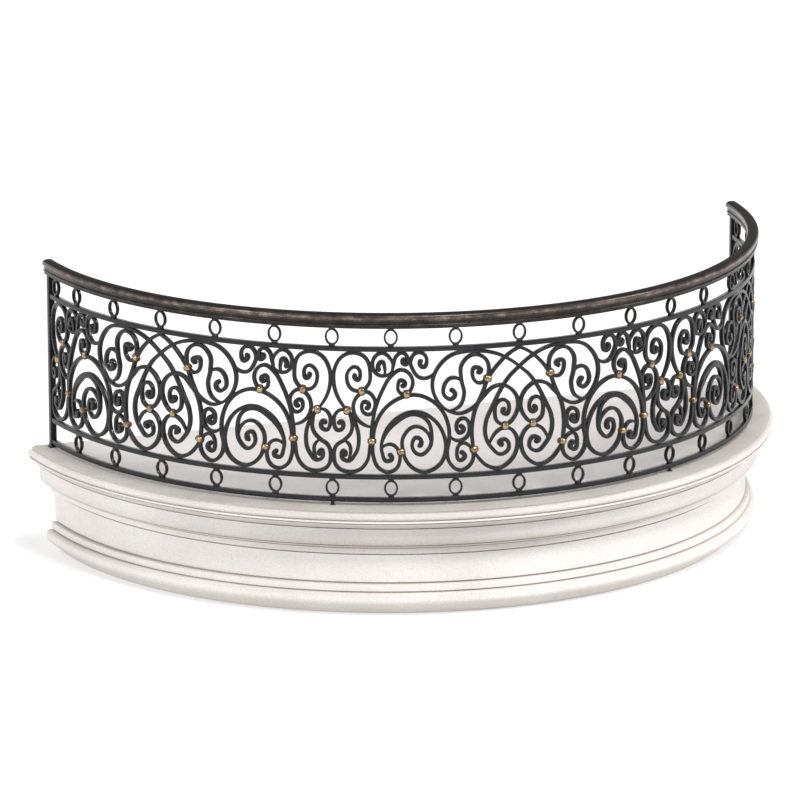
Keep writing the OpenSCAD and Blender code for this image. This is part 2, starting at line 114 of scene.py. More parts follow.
def grey(value):
    return (value, value, value)


def object_place(tree):
    return tree.nodes.new("ShaderNodeTexCoord").outputs["Object"]


def axes(tree, vector):
    node = tree.nodes.new("ShaderNodeSeparateXYZ")
    tree.links.new(vector, node.inputs["Vector"])
    return node.outputs


def share_between(tree, value, low, high):
    node = tree.nodes.new("ShaderNodeMapRange")
    node.inputs["From Min"].default_value = low
    node.inputs["From Max"].default_value = high
    tree.links.new(value, node.inputs["Value"])
    return node.outputs["Result"]


def noise(tree, scale, detail, stretch=(1, 1, 1)):
    turn = tree.nodes.new("ShaderNodeMapping")
    turn.inputs["Scale"].default_value = stretch
    grain = tree.nodes.new("ShaderNodeTexNoise")
    grain.inputs["Scale"].default_value = scale
    grain.inputs["Detail"].default_value = detail
    tree.links.new(object_place(tree), turn.inputs["Vector"])
    tree.links.new(turn.outputs["Vector"], grain.inputs["Vector"])
    return grain.outputs["Fac"]


def ramp(tree, value, stops):
    node = tree.nodes.new("ShaderNodeValToRGB")
    node.color_ramp.elements[0].position = stops[0][0]
    node.color_ramp.elements[0].color = (*stops[0][1], 1)
    node.color_ramp.elements[1].position = stops[-1][0]
    node.color_ramp.elements[1].color = (*stops[-1][1], 1)
    for position, colour in stops[1:-1]:
        node.color_ramp.elements.new(position).color = (*colour, 1)
    tree.links.new(value, node.inputs["Fac"])
    return node.outputs["Color"]


def times(tree, one, other):
    node = tree.nodes.new("ShaderNodeMix")
    node.data_type = "RGBA"
    node.blend_type = "MULTIPLY"
    node.inputs["Factor"].default_value = 1.0
    tree.links.new(one, node.inputs["A"])
    tree.links.new(other, node.inputs["B"])
    return node.outputs["Result"]


def bump(tree, shader, height, strength, distance):
    node = tree.nodes.new("ShaderNodeBump")
    node.inputs["Strength"].default_value = strength
    node.inputs["Distance"].default_value = distance
    tree.links.new(height, node.inputs["Height"])
    tree.links.new(node.outputs["Normal"], shader.inputs["Normal"])


# Upright faces keep the stone's colour; painted shade darkens faces that look down, ledges that look up, and
# a band below the nose, most strongly a little left of the middle.
limestone, tree, shader = new_finish("pale_limestone", (0.8, 0.77, 0.75), 0.0, 0.6)
clouds = ramp(tree, noise(tree, 2.2, 5), [(0.3, (0.77, 0.735, 0.712)), (0.5, (0.82, 0.79, 0.77)),
                                         (0.72, (0.86, 0.836, 0.818))])
specks = ramp(tree, noise(tree, 130, 9), [(0.36, (0.88, 0.875, 0.87)), (0.48, grey(0.975)),
                                         (0.7, grey(1.0))])
facing = axes(tree, tree.nodes.new("ShaderNodeNewGeometry").outputs["True Normal"])
# Painted shade by facing: faces that look down are darkened most, faces that look up a little, upright faces
# not at all.
painted_shade_by_facing = ramp(tree, share_between(tree, facing["Z"], -1.0, 1.0),
              [(0.1, (0.76, 0.74, 0.72)), (0.5, grey(1.0)), (0.7, (0.88, 0.87, 0.86)),
               (0.95, (0.90, 0.89, 0.88))])
place = axes(tree, object_place(tree))
# Painted shade below the nose: the stone from the fillet up to the nose is darkened, and the bead and tread
# a little too; it is strongest a little left of the middle and fades out towards both ends.
painted_shade_under_nose = ramp(tree, share_between(tree, place["Z"], CENTRE.z - PAINTED_SHADE_DROP, CENTRE.z),
             [(0.0, grey(1.0)), (0.109, (0.80, 0.785, 0.78)), (0.241, (0.73, 0.715, 0.71)),
              (0.373, (0.77, 0.755, 0.75)), (0.669, (0.82, 0.805, 0.80)), (0.76, grey(1.0)),
              (0.792, grey(1.0)), (0.81, (0.88, 0.87, 0.86))])
painted_shade_spread = ramp(tree, share_between(tree, place["X"], -2.0, 2.0),
             [(0.05, grey(0.0)), (0.27, grey(1.0)), (0.40, grey(1.0)), (0.72, grey(0.0))])
painted_shade_mix = tree.nodes.new("ShaderNodeMix")
painted_shade_mix.data_type = "RGBA"
painted_shade_mix.inputs["A"].default_value = (1, 1, 1, 1)
tree.links.new(painted_shade_spread, painted_shade_mix.inputs["Factor"])
tree.links.new(painted_shade_under_nose, painted_shade_mix.inputs["B"])
stone = times(tree, times(tree, clouds, specks), times(tree, painted_shade_by_facing, painted_shade_mix.outputs["Result"]))
tree.links.new(stone, shader.inputs["Base Color"])
rough = ramp(tree, noise(tree, 9, 4), [(0.3, grey(0.5)), (0.7, grey(0.68))])
tree.links.new(rough, shader.inputs["Roughness"])
bump(tree, shader, noise(tree, 160, 6), 0.16, 0.0008)

floor_slab, tree, shader = new_finish("honed_floor_stone", (0.5, 0.47, 0.45), 0.0, 0.28)
veins = ramp(tree, noise(tree, 1.4, 7, (1, 2.6, 1)),
             [(0.32, (0.52, 0.497, 0.486)), (0.5, (0.57, 0.548, 0.537)), (0.7, (0.62, 0.600, 0.590))])
tree.links.new(veins, shader.inputs["Base Color"])
bump(tree, shader, noise(tree, 120, 5), 0.08, 0.0006)

walkway, tree, shader = new_finish("trodden_walkway", (0.45, 0.42, 0.4), 0.0, 0.62)
worn = ramp(tree, noise(tree, 3.4, 6), [(0.32, (0.47, 0.445, 0.42)), (0.5, (0.515, 0.49, 0.465)),
                                       (0.7, (0.56, 0.535, 0.51))])
grit = ramp(tree, noise(tree, 150, 8), [(0.36, (0.86, 0.855, 0.85)), (0.5, grey(0.98)), (0.7, grey(1.0))])
tree.links.new(times(tree, worn, grit), shader.inputs["Base Color"])
bump(tree, shader, noise(tree, 140, 6), 0.14, 0.0007)

tread = [(SLAB_R, 0.0), (NOSE_R - 0.045, 0.0), (NOSE_R - 0.019, -0.008), (NOSE_R - 0.024, -0.0095)]
bead = ([(NOSE_R - 0.024, -0.0165), (NOSE_R - 0.0155, -0.0165)]
        + sweep((NOSE_R - 0.014, -0.0345), 0.014, 0.0182, 96, -80, 14))
roll = ([(NOSE_R - 0.0150, -0.053), (NOSE_R - 0.0150, -0.056), (NOSE_R - 0.0068, -0.056)]
        + sweep((NOSE_R - 0.0075, -0.0585), 0.0025, 0.0025, 80, 0, 4)
        + sweep((NOSE_R - 0.0075, -0.0645), 0.0025, 0.0028, 0, -84, 4))
cove = ([(NOSE_R - 0.030, -0.0675), (NOSE_R - 0.030, -0.0745)]
        + curve_to((NOSE_R - 0.019, -0.0745), (NOSE_R - 0.027, -0.084), (BAND_R + 0.018, -0.097),
                   (BAND_R + 0.003, -0.1055), 8))
band = ([(BAND_R - 0.011, -0.1062), (BAND_R - 0.011, -0.1112), (BAND_R, -0.1112)]
        + curve_to((BAND_R, -0.152), (BAND_R - 0.001, -0.174), (BAND_R - 0.008, -0.194),
                   (BAND_R - 0.017, -0.201), 8))
lip = ([(BAND_R - 0.032, -0.202), (BAND_R - 0.032, -0.2075)]
       + curve_to((BAND_R - 0.026, -0.2075), (BAND_R - 0.028, -0.212), (BAND_R - 0.034, -0.216),
                  (BAND_R - 0.040, -0.2185), 5))
fillet = [(FILLET_R - 0.004, -0.2195), (FILLET_R - 0.004, -0.2268), (FILLET_R, -0.229), (FILLET_R, -0.254),
          (DRUM_R + 0.006, -0.259), (DRUM_R + 0.003, -0.263)]
cornice_side = tread + bead + roll + cove + band + lip + fillet

drum_side = [(DRUM_R - 0.012, -0.263), (DRUM_R - 0.012, -0.269), (DRUM_R, -0.269), (DRUM_R, -0.412),
             (DRUM_R - 0.014, -0.413), (DRUM_R - 0.014, -0.421)]

ledge = [(FILLET_R - 0.003, -0.421), (FILLET_R, -0.424), (FILLET_R, -0.455), (FILLET_R - 0.013, -0.456),
         (FILLET_R - 0.013, -0.463), (BASE_R - 0.017, -0.463)]
torus = (sweep((BASE_R - 0.015, -0.482), 0.015, 0.019, 96, 0, 8)[1:]
         + sweep((BASE_R - BASE_EASE, -SLOPE_START), BASE_EASE, BASE_EASE, 0, -48, 12))
base_side = ledge + torus + [(BASE_R - BASE_TUCK, -CENTRE.z)]

for node, side in (("cornice_course", cornice_side), ("drum_course", drum_side), ("base_course", base_side)):
    outline = [(0.0, side[0][1])] + side + [(0.0, side[-1][1])]
    course = spin_profile(node + "_stone", outline, -COURSE_END, COURSE_END, COURSE_STEPS, False)
    bpy.ops.mesh.select_all(action="SELECT")
    bpy.ops.mesh.bisect(plane_co=(0, CENTRE.y - BACK, 0), plane_no=(0, 1, 0), use_fill=True,
                        clear_outer=True)
    bpy.ops.object.mode_set(mode="OBJECT")
    outwards_and_smooth(course, 24)
    course.data.materials.append(limestone)
    if node == "cornice_course":
        course.data.materials.append(floor_slab)
        course.data.materials.append(walkway)
        for face in course.data.polygons:
            if face.normal.z > 0.9 and face.center.z > CENTRE.z - TREAD_DROP:
                corners = [course.data.vertices[i].co for i in face.vertices]
                reach = max(math.hypot(corner.x, corner.y - CENTRE.y) for corner in corners)
                face.material_index = 1 if reach < SLAB_R + 0.001 else 2
    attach(course, "root")
    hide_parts(node)

# End posts: square bars of wrought iron with a flared foot leaded into the stone, one at each end.
# They are forged from one bar; the foot is upset and drawn out, and the black finish is waxed.
POST_W, POST_ARRIS, FOOT_OUT, FOOT_H, FOOT_STEPS = 0.032, 0.0018, 0.011, 0.030, 8
HANDRAIL_Z, RAILS_FROM_WALL, POST_GAP = 0.924, 0.068, 0.0003
END_ANGLE = math.acos((BACK + RAILS_FROM_WALL) / RAIL_R)
POST_ANGLE = END_ANGLE + (POST_W / 2 + POST_GAP) / RAIL_R

black_iron, tree, shader = new_finish("waxed_black_iron", (0.016, 0.0165, 0.018), 0.0, 0.4)
colour = ramp(tree, noise(tree, 14, 5), [(0.3, (0.0052, 0.0057, 0.0072)), (0.55, (0.0088, 0.0095, 0.0118)),
                                        (0.75, (0.018, 0.019, 0.0225))])
tree.links.new(colour, shader.inputs["Base Color"])
rough = ramp(tree, noise(tree, 30, 4), [(0.3, grey(0.18)), (0.7, grey(0.34))])
tree.links.new(rough, shader.inputs["Roughness"])
bump(tree, shader, noise(tree, 150, 4), 0.2, 0.0010)
shader.inputs["Specular IOR Level"].default_value = 0.4


def turned_to(angle, height=0.0):
    return Matrix.Translation(on_arc(RAIL_R, angle, height)) @ Matrix.Rotation(angle, 4, "Z")


turns = [math.pi / 2 * i / FOOT_STEPS for i in range(FOOT_STEPS + 1)]
foot_widths = [POST_W + 2 * FOOT_OUT * (1 - math.sin(turn)) for turn in turns]
foot_rises = [FOOT_H * (1 - math.cos(turn)) for turn in turns]
for side, node in ((-1, "post_left"), (1, "post_right")):
    bpy.ops.object.select_all(action="DESELECT")
    bpy.ops.mesh.primitive_plane_add(size=foot_widths[0])
    post = bpy.context.object
    post.name = node + "_bar"
    bpy.ops.object.mode_set(mode="EDIT")
    bpy.ops.mesh.select_all(action="SELECT")
    for i in range(FOOT_STEPS):
        rise = foot_rises[i + 1] - foot_rises[i]
        narrow = foot_widths[i + 1] / foot_widths[i]
        bpy.ops.mesh.extrude_region_move(TRANSFORM_OT_translate={"value": (0, 0, rise)})
        bpy.ops.transform.resize(value=(narrow, narrow, 1))
    bpy.ops.mesh.extrude_region_move(TRANSFORM_OT_translate={"value": (0, 0, HANDRAIL_Z - FOOT_H)})
    bpy.ops.object.mode_set(mode="OBJECT")
    soften = post.modifiers.new("arris", "BEVEL")
    soften.width = POST_ARRIS
    soften.segments = 2
    soften.limit_method = "ANGLE"
    soften.angle_limit = math.radians(50)
    choose(post)
    bpy.ops.object.modifier_apply(modifier="arris")
    post.data.transform(turned_to(side * POST_ANGLE))
    outwards_and_smooth(post, 40)
    post.data.materials.append(black_iron)
    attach(post, "root")
    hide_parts(node)

# Flat rails: three rolled iron bars bent to the arc, let into the posts and pinned.
# Their long edges are eased with a file, so they catch a thin line of light.
RAIL_H, RAIL_D, RAIL_EASE, RAIL_STEPS = 0.025, 0.025, 0.0025, 180
BOTTOM_Z, LOWER_Z, UPPER_Z = 0.018, 0.137, 0.802


def eased_bar(centre, wide, high, ease, steps):
    outline = []
    for x, z, first in ((1, 1, 0), (-1, 1, 90), (-1, -1, 180), (1, -1, 270)):
        corner = (centre[0] + x * (wide / 2 - ease), centre[1] + z * (high / 2 - ease))
        outline += sweep(corner, ease, ease, first, first + 90, steps)
    return outline


for node, z in (("bottom_rail", BOTTOM_Z), ("lower_rail", LOWER_Z), ("upper_rail", UPPER_Z)):
    outline = eased_bar((RAIL_R, z + RAIL_H / 2), RAIL_D, RAIL_H, RAIL_EASE, 3)
    rail = spin_profile(node + "_bar", outline, -END_ANGLE, END_ANGLE, RAIL_STEPS, True)
    bpy.ops.object.mode_set(mode="OBJECT")
    outwards_and_smooth(rail, 40)
    rail.data.materials.append(black_iron)
    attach(rail, "root")
    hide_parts(node)

# Pegs: two short round feet that carry the bottom rail where the bays meet.
# Each is a turned pin with a round washer plate, set into a drilled hole in the stone.
HALF_BAY_ANGLE = END_ANGLE / 3
PLATE_R, PLATE_H, PLATE_EASE, PLATE_TAPER = 0.016, 0.003, 0.001, 0.93
SHOULDER_IN, SHOULDER_H, SHOULDER_TAPER = 0.0052, 0.002, 0.9
PEG_TOP = BOTTOM_Z + 0.0002


def join(pieces):
    choose(pieces[0])
    for piece in pieces[1:]:
        piece.select_set(True)
    if len(pieces) > 1:
        bpy.ops.object.join()
    return bpy.context.object


feet = []
for side in (-1, 1):
    bpy.ops.object.select_all(action="DESELECT")
    bpy.ops.mesh.primitive_circle_add(vertices=28, radius=PLATE_R, fill_type="NGON")
    peg = bpy.context.object
    bpy.ops.object.mode_set(mode="EDIT")
    bpy.ops.mesh.select_all(action="SELECT")
    bpy.ops.mesh.extrude_region_move(TRANSFORM_OT_translate={"value": (0, 0, PLATE_H)})
    bpy.ops.mesh.extrude_region_move(TRANSFORM_OT_translate={"value": (0, 0, PLATE_EASE)})
    bpy.ops.transform.resize(value=(PLATE_TAPER, PLATE_TAPER, 1))
    bpy.ops.mesh.inset(thickness=SHOULDER_IN)
    bpy.ops.mesh.extrude_region_move(TRANSFORM_OT_translate={"value": (0, 0, SHOULDER_H)})
    bpy.ops.transform.resize(value=(SHOULDER_TAPER, SHOULDER_TAPER, 1))
    pin = PEG_TOP - PLATE_H - PLATE_EASE - SHOULDER_H
    bpy.ops.mesh.extrude_region_move(TRANSFORM_OT_translate={"value": (0, 0, pin)})
    bpy.ops.object.mode_set(mode="OBJECT")
    peg.data.transform(turned_to(side * HALF_BAY_ANGLE))
    feet.append(peg)
pegs = join(feet)
pegs.name = "pegs_turned"
outwards_and_smooth(pegs, 35)
pegs.data.materials.append(black_iron)
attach(pegs, "root")
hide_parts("pegs")

# Rings: small oval hoops of iron between two rails, in a row above and a row below the grille.
# Each is bent from one bar, closed by a weld, and seated on a little pad on both rails.
RING_W, RING_T, RING_D, RING_SUNK = 0.072, 0.0105, 0.019, 0.001
SEAT_W, SEAT_H, SEAT_SUNK, SEAT_EASE = 0.030, 0.005, 0.004, 0.0016
RING_STEPS = [math.radians(8.85), math.radians(18.6)]
END_RING = math.radians(1.95)
TUBE_R, SQUARED = 0.15, 0.45


def one_ring(height):
    bpy.ops.object.select_all(action="DESELECT")
    bpy.ops.mesh.primitive_torus_add(major_segments=40, minor_segments=12, major_radius=1.0,
                                     minor_radius=TUBE_R, rotation=(math.pi / 2, 0, 0))
    hoop = bpy.context.object
    bpy.ops.object.transform_apply(rotation=True)
    half_w = RING_W / 2 - RING_T / 2
    half_h = height / 2 - SEAT_H + RING_SUNK - RING_T / 2
    for v in hoop.data.vertices:
        flat = math.hypot(v.co.x, v.co.z)
        out, deep = (flat - 1) / TUBE_R, v.co.y / TUBE_R
        out = math.copysign(abs(out) ** SQUARED, out) * RING_T / 2
        deep = math.copysign(abs(deep) ** SQUARED, deep) * RING_D / 2
        v.co = (v.co.x / flat * (half_w + out), deep, v.co.z / flat * (half_h + out))
    parts = [hoop]
    for side in (-1, 1):
        bpy.ops.object.select_all(action="DESELECT")
        bpy.ops.mesh.primitive_cube_add(size=1)
        pad = bpy.context.object
        bpy.ops.object.mode_set(mode="EDIT")
        bpy.ops.mesh.select_all(action="SELECT")
        bpy.ops.transform.resize(value=(SEAT_W, RING_D, SEAT_H + SEAT_SUNK))
        bpy.ops.transform.translate(value=(0, 0, side * (height / 2 - SEAT_H / 2 - SEAT_SUNK / 2)))
        bpy.ops.mesh.bevel(offset=SEAT_EASE, segments=2, affect="EDGES")
        bpy.ops.object.mode_set(mode="OBJECT")
        parts.append(pad)
    return join(parts)


def bay_places(bay):
    first, last = (2 * bay - 5) * HALF_BAY_ANGLE, (2 * bay - 3) * HALF_BAY_ANGLE
    near, far = RING_STEPS
    places = [first + near, first + far, (first + last) / 2, last - far, last - near]
    return ([first] if bay > 1 else []) + places


def copy_of(pattern):
    piece = pattern.copy()
    piece.data = pattern.data.copy()
    bpy.context.collection.objects.link(piece)
    return piece


ring_rows = [("lower_rings", BOTTOM_Z + RAIL_H, LOWER_Z), ("upper_rings", UPPER_Z + RAIL_H, HANDRAIL_Z)]
for row, low, high in ring_rows:
    pattern = one_ring(high - low)
    for bay in (1, 2, 3):
        places = bay_places(bay)
        if row == "upper_rings" and bay != 2:
            places.append((END_ANGLE - END_RING) * (bay - 2))
        hoops = []
        for angle in places:
            hoop = copy_of(pattern)
            hoop.data.transform(turned_to(angle, (low + high) / 2))
            hoops.append(hoop)
        rings = join(hoops)
        rings.name = f"{row}_{bay}_hoops"
        outwards_and_smooth(rings, 45)
        rings.data.materials.append(black_iron)
        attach(rings, "root")
        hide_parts(f"{row}_{bay}")
    bpy.data.objects.remove(pattern)

# Grille: forged scrolls of square bar, drawn flat for half a bay and then bent to the arc.
# The smith tapers each bar, swells its end into a snub eye and fire-welds bars that run together.
# A sheet point is about millimetres: along the rail from the lyre's axis, and up from the stone.
BAR_W, BAR_D, BAR_EASE, KNOB_R, KNOB_FLAT = 0.0188, 0.0215, 0.0032, 0.0128, 0.95
THIN, BELLY, BELLY_SHIFT, SHARPEST_BEND = 0.92, 0.15, 0.8, 2.6
EYE_SWELL, EYE_RUN = 0.46, 0.075
WELD_TAPER, WELD_RUN = 0.64, 0.05
SHEET_LOW, SHEET_HIGH, SHEET_LONG = 162.0, 806.0, 958.5
PANEL_LOW, PANEL_HIGH = LOWER_Z + RAIL_H, UPPER_Z
HALF_BAY = RAIL_R * HALF_BAY_ANGLE
BAY_AXIS = HALF_BAY - 0.003
EYE, WELD = True, False

lyre_bars = [
    ([(82, 490), (58, 518), (28, 568), (9, 640), (16, 720), (52, 778), (112, 799), (168, 775),
      (193, 700), (184, 634), (150, 602), (104, 606), (76, 655), (84, 703), (118, 725), (143, 692),
      (126, 659), (115, 680)], EYE),
    ([(200, 411), (150, 430), (115, 475), (108, 525), (132, 575), (172, 596), (208, 570),
      (217, 520), (186, 477), (150, 510), (167, 543), (186, 519), (176, 510)], EYE),
    ([(72, 500), (99, 445), (96, 382), (62, 342), (22, 312), (8, 255), (24, 200), (75, 175),
      (140, 188), (178, 235), (189, 300), (191, 340)], WELD),
    ([(84, 496), (118, 430), (135, 350), (118, 270), (75, 231), (48, 256), (60, 281), (66, 264)], EYE),
    ([(58, 340), (86, 318), (93, 275), (80, 238)], WELD),
    ([(74, 494), (40, 497), (14, 470), (9, 430), (32, 391), (57, 416), (44, 436), (36, 430)], EYE)]
dome_bars = [
    ([(193, 336), (200, 400), (217, 500), (255, 605), (300, 680), (350, 711), (396, 682),
      (405, 625), (378, 588), (344, 590), (332, 625), (350, 656), (367, 634), (356, 626)], EYE),
    ([(300, 680), (310, 735), (326, 784), (352, 800), (381, 768), (368, 740), (356, 756), (362, 764)], EYE),
    ([(306, 728), (290, 776), (252, 799), (215, 776), (205, 735), (222, 693), (256, 679), (300, 700)], WELD),
    ([(262, 679), (267, 718), (250, 752), (234, 734), (236, 712)], EYE),
    ([(520, 700), (486, 668), (445, 668), (408, 710), (397, 760), (436, 801), (478, 758),
      (458, 724), (443, 745), (447, 754)], EYE),
    ([(252, 300), (297, 321), (336, 286), (342, 240), (326, 196), (288, 175), (238, 194),
      (208, 258), (206, 330), (222, 430), (270, 512), (350, 566), (420, 579), (490, 555),
      (550, 500), (586, 420), (592, 340), (581, 270), (596, 214), (650, 176), (704, 208),
      (716, 262), (696, 301), (658, 317), (631, 272), (652, 228), (671, 254), (656, 268)], EYE),
    ([(494, 340), (474, 388), (424, 413), (362, 365), (357, 285), (385, 218), (455, 175),
      (540, 207), (575, 290), (562, 370), (512, 448), (425, 490), (320, 452), (260, 365),
      (252, 280), (278, 233), (302, 247), (292, 264)], EYE),
    ([(254, 330), (320, 432), (420, 477), (476, 448), (502, 370), (486, 292), (445, 264),
      (410, 290), (404, 322), (427, 355), (450, 328), (442, 312)], EYE),
    ([(590, 370), (640, 331), (697, 388), (656, 447), (628, 404), (648, 373), (664, 396), (652, 406)], EYE)]
arch_bars = [
    ([(722, 262), (712, 320), (708, 385), (722, 480), (765, 580), (790, 645), (850, 725),
      (910, 776), (958.5, 800), (970, 804)], WELD),
    ([(718, 280), (745, 232), (790, 190), (848, 174), (908, 204), (946, 272), (944, 332),
      (886, 384), (838, 366), (808, 325), (797, 301)], WELD),
    ([(590, 489), (556, 514), (526, 554), (508, 605), (508, 655), (540, 727), (600, 780),
      (680, 798), (760, 795), (840, 775), (900, 744), (958.5, 700), (967, 692.5)], WELD),
    ([(967, 707.5), (958.5, 700), (905, 652), (860, 588), (815, 500), (782, 425), (778, 355),
      (810, 285), (866, 246), (904, 282), (868, 321), (853, 304), (866, 297)], EYE),
    ([(560, 508), (590, 489), (645, 474), (710, 498), (765, 553), (815, 600), (862, 610),
      (915, 584), (951, 520), (938, 448), (884, 401), (842, 418), (828, 470), (836, 512),
      (866, 532), (904, 490), (884, 456), (870, 470), (876, 481)], EYE),
    ([(590, 490), (642, 510), (668, 575), (654, 650), (656, 730), (722, 779), (782, 748),
      (796, 690), (780, 642), (748, 628), (712, 665), (728, 711), (752, 690), (742, 684)], EYE),
    ([(662, 612), (608, 663), (565, 620), (573, 564), (604, 552), (621, 580), (604, 598)], EYE)]


def on_sheet(point):
    s, z = point
    return Vector((s / SHEET_LONG * HALF_BAY,
                   PANEL_LOW + (PANEL_HIGH - PANEL_LOW) * (z - SHEET_LOW) / (SHEET_HIGH - SHEET_LOW)))


def directions(points):
    chords = [b - a for a, b in zip(points, points[1:])]
    inner = [(a.normalized() * b.length + b.normalized() * a.length).normalized()
             for a, b in zip(chords, chords[1:])]
    first, last = chords[0].normalized(), chords[-1].normalized()
    start = 2 * inner[0].dot(first) * first - inner[0]
    end = 2 * inner[-1].dot(last) * last - inner[-1]
    return [start] + inner + [end]


def bar_section():
    bpy.ops.object.select_all(action="DESELECT")
    bpy.ops.curve.primitive_bezier_circle_add()
    section = bpy.context.object
    section.data.dimensions = "2D"
    section.data.splines.clear()
    spline = section.data.splines.new("POLY")
    corners = eased_bar((0, 0), BAR_W, BAR_D, BAR_EASE, 2)
    spline.points.add(len(corners) - 1)
    for point, corner in zip(spline.points, corners):
        point.co = (*corner, 0, 1)
    spline.use_cyclic_u = True
    return section


def lay_bar(spline, places, eye):
    ways = directions(places)
    spline.bezier_points.add(len(places) - 1)
    length = [0.0]
    for a, b in zip(places, places[1:]):
        length.append(length[-1] + (b - a).length)
    for i, knot in enumerate(spline.bezier_points):
        gone, left = length[i], length[-1] - length[i]
        knot.co = (*places[i], 0)
        knot.handle_left_type = knot.handle_right_type = "FREE"
        knot.handle_left = knot.handle_right = knot.co
        knot.radius = THIN + BELLY * math.sin(math.pi * (gone / length[-1]) ** BELLY_SHIFT)
        if eye:
            knot.radius += EYE_SWELL * max(0, 1 - left / EYE_RUN)
        if places[0].x < BAY_AXIS:
            knot.radius *= WELD_TAPER + (1 - WELD_TAPER) * min(1, gone / WELD_RUN)
        if not eye and places[-1].x < BAY_AXIS:
            knot.radius *= WELD_TAPER + (1 - WELD_TAPER) * min(1, left / WELD_RUN)
    for i in range(len(places) - 1):
        bend = math.acos(max(-1, min(1, ways[i].dot(ways[i + 1]))))
        pull = (places[i + 1] - places[i]).length / math.cos(min(bend, SHARPEST_BEND) / 4) ** 2 / 3
        spline.bezier_points[i].handle_right = (*(places[i] + ways[i] * pull), 0)
        spline.bezier_points[i + 1].handle_left = (*(places[i + 1] - ways[i + 1] * pull), 0)


def forged_bars(name, bars):
    section = bar_section()
    bpy.ops.object.select_all(action="DESELECT")
    bpy.ops.curve.primitive_bezier_curve_add()
    rods = bpy.context.object
    rods.data.dimensions = "2D"
    rods.data.fill_mode = "NONE"
    rods.data.splines.clear()
    rods.data.resolution_u = 7
    rods.data.bevel_mode = "OBJECT"
    rods.data.bevel_object = section
    rods.data.use_fill_caps = True
    eyes = []
    for points, eye in bars:
        places = [on_sheet(point) for point in points]
        lay_bar(rods.data.splines.new("BEZIER"), places, eye)
        if eye:
            eyes.append(places[-1])
    choose(rods)
    bpy.ops.object.convert(target="MESH")
    rods = bpy.context.object
    rods.name = name
    bpy.data.objects.remove(section)
    knobs = []
    for place in eyes:
        bpy.ops.object.select_all(action="DESELECT")
        bpy.ops.mesh.primitive_uv_sphere_add(segments=18, ring_count=10, radius=KNOB_R, location=(*place, 0))
        knob = bpy.context.object
        bpy.ops.object.mode_set(mode="EDIT")
        bpy.ops.mesh.select_all(action="SELECT")
        bpy.ops.transform.resize(value=(1, 1, KNOB_FLAT))
        bpy.ops.object.mode_set(mode="OBJECT")
        bpy.ops.object.transform_apply(location=True, rotation=True, scale=True)
        knobs.append(knob)
    return join([rods] + knobs)


def bend_to_arc(pattern, name, axis, side):
    piece = copy_of(pattern)
    piece.name = name
    flat = np.empty(len(piece.data.vertices) * 3, np.float64)
    piece.data.vertices.foreach_get("co", flat)
    s, z, depth = flat.reshape(-1, 3).T
    angle = axis + side * s / RAIL_R
    radius = RAIL_R + depth
    bent = np.stack([radius * np.sin(angle), CENTRE.y - radius * np.cos(angle), CENTRE.z + z], 1)
    piece.data.vertices.foreach_set("co", bent.ravel())
    piece.data.update()
    return piece


patterns = {"lyre": forged_bars("lyre", lyre_bars), "dome": forged_bars("dome", dome_bars),
            "arch": forged_bars("arch", arch_bars)}
END, MID = END_ANGLE, HALF_BAY_ANGLE
grille = {"lyre_end_left": ("lyre", [(-END, 1)]), "lyre_left": ("lyre", [(-MID, 1), (-MID, -1)]),
          "lyre_right": ("lyre", [(MID, 1), (MID, -1)]), "lyre_end_right": ("lyre", [(END, -1)])}
for kind in ("dome", "arch"):
    for bay, left, right in ((1, -END, -MID), (2, -MID, MID), (3, MID, END)):
        grille[f"{kind}_{bay}_left"] = (kind, [(left, 1)])
        grille[f"{kind}_{bay}_right"] = (kind, [(right, -1)])
for node, (kind, halves) in grille.items():
    scrolls = join([bend_to_arc(patterns[kind], node + "_scrolls", axis, side) for axis, side in halves])
    outwards_and_smooth(scrolls, 48)
    scrolls.data.materials.append(black_iron)
    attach(scrolls, "root")
    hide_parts(node)
for pattern in patterns.values():
    bpy.data.objects.remove(pattern)

# Collars: barrels of cast brass with a neck and rim at both ends, closed round bars that run together.
# They are put on hot, polished and lacquered to a pale gold; the brown on both rims is painted shade.
# A place is a sheet point and the barrel's lean in degrees; the barrel's half outline is in millimetres.
collar_places = [(150, 598, 10), (76, 496, -20), (201, 337, 90), (376, 583, 10), (348, 281, 100),
                 (789, 649, 60), (884, 394, 0), (720, 280, 105)]
SHADED_RIMS_FROM, MM = 0.0145, 0.001
barrel = [(-22.5, 8), (-21.8, 11.2), (-20.4, 13.2), (-18.6, 13.6), (-17.4, 12.9), (-16.4, 14.4),
          (-13.6, 16.2), (-9.6, 17.6), (-4.8, 18.4), (0, 18.7)]
barrel += [(-t, r) for t, r in reversed(barrel[:-1])]

soft_brass, tree, shader = new_finish("lacquered_brass", (0.4, 0.28, 0.12), 1.0, 0.26)
colour = ramp(tree, noise(tree, 26, 3), [(0.3, (0.32, 0.222, 0.118)), (0.5, (0.43, 0.318, 0.182)),
                                        (0.7, (0.54, 0.425, 0.265))])
tree.links.new(colour, shader.inputs["Base Color"])
rough = ramp(tree, noise(tree, 90, 3), [(0.3, grey(0.2)), (0.7, grey(0.36))])
tree.links.new(rough, shader.inputs["Roughness"])

# Painted shade: both ends of each barrel get this darker brown instead of the lacquered gold.
brass_painted_shade, tree, shader = new_finish("brass_painted_shade", (0.07, 0.045, 0.02), 0.8, 0.42)
colour = ramp(tree, noise(tree, 60, 4), [(0.3, (0.085, 0.054, 0.028)), (0.7, (0.17, 0.112, 0.060))])
tree.links.new(colour, shader.inputs["Base Color"])

